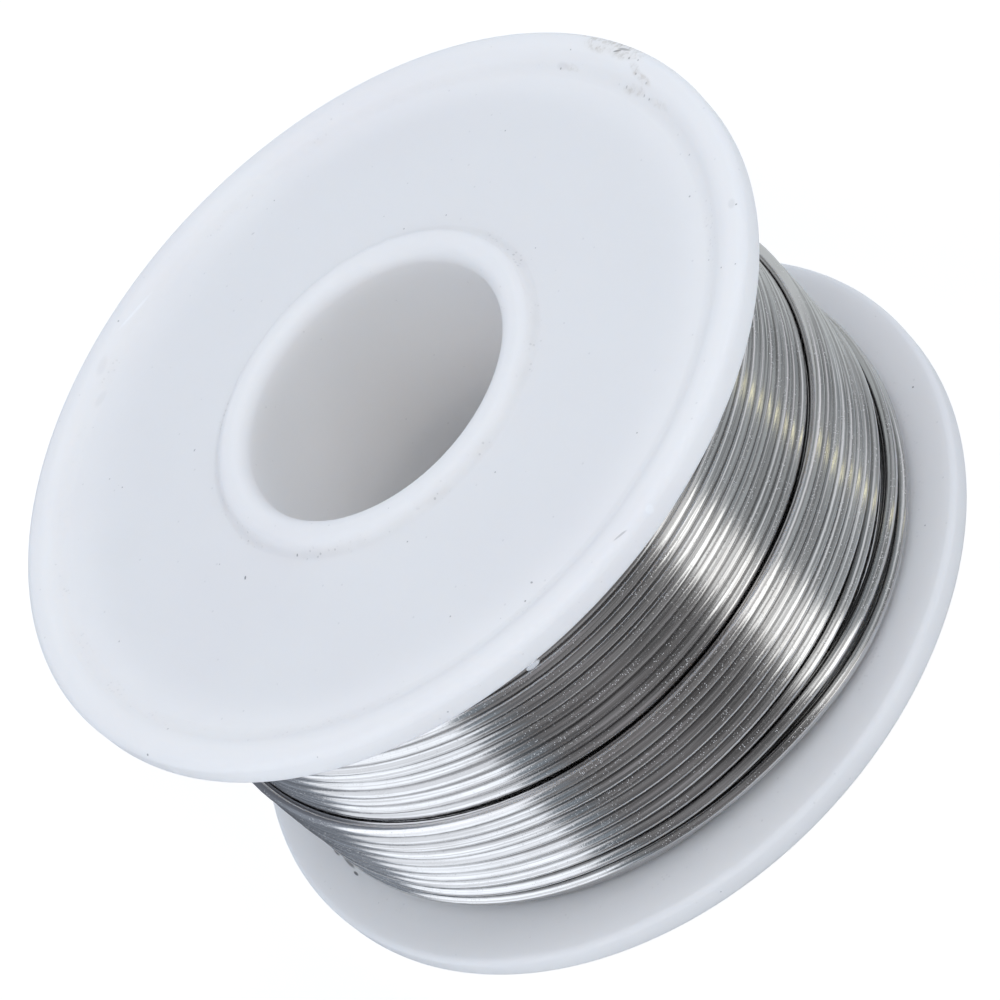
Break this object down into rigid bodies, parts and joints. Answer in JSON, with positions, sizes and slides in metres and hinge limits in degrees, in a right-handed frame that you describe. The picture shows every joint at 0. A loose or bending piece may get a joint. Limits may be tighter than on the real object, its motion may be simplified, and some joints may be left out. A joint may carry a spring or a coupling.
{
  "type": "solder wire spool",
  "caption": "Small flanged plastic bobbin with a round bore and recessed flange faces, wound with bright round solder wire on two levels.",
  "frame": {"origin": "centre of the lower flange's outer face, on the bore's axis, where the spool stands", "axes": "+Z along the bore's axis, from the lower flange to the upper flange; the bobbin is round, so +X is any radius, and the wire climbs from its low level to its high level on the +Y side"},
  "size_m": [0.055, 0.055, 0.0285],
  "materials": {
    "white_plastic": "bluish white injection moulding, slightly translucent, satin gloss",
    "solder": "bright drawn solder wire, half gloss, with fine pits"
  },
  "bodies": {
    "root": {"upper_flange_half": "white_plastic", "lower_flange_half": "white_plastic", "inner_wire_layers": "solder", "outer_wire_turns": "solder"}
  },
  "joints": []
}
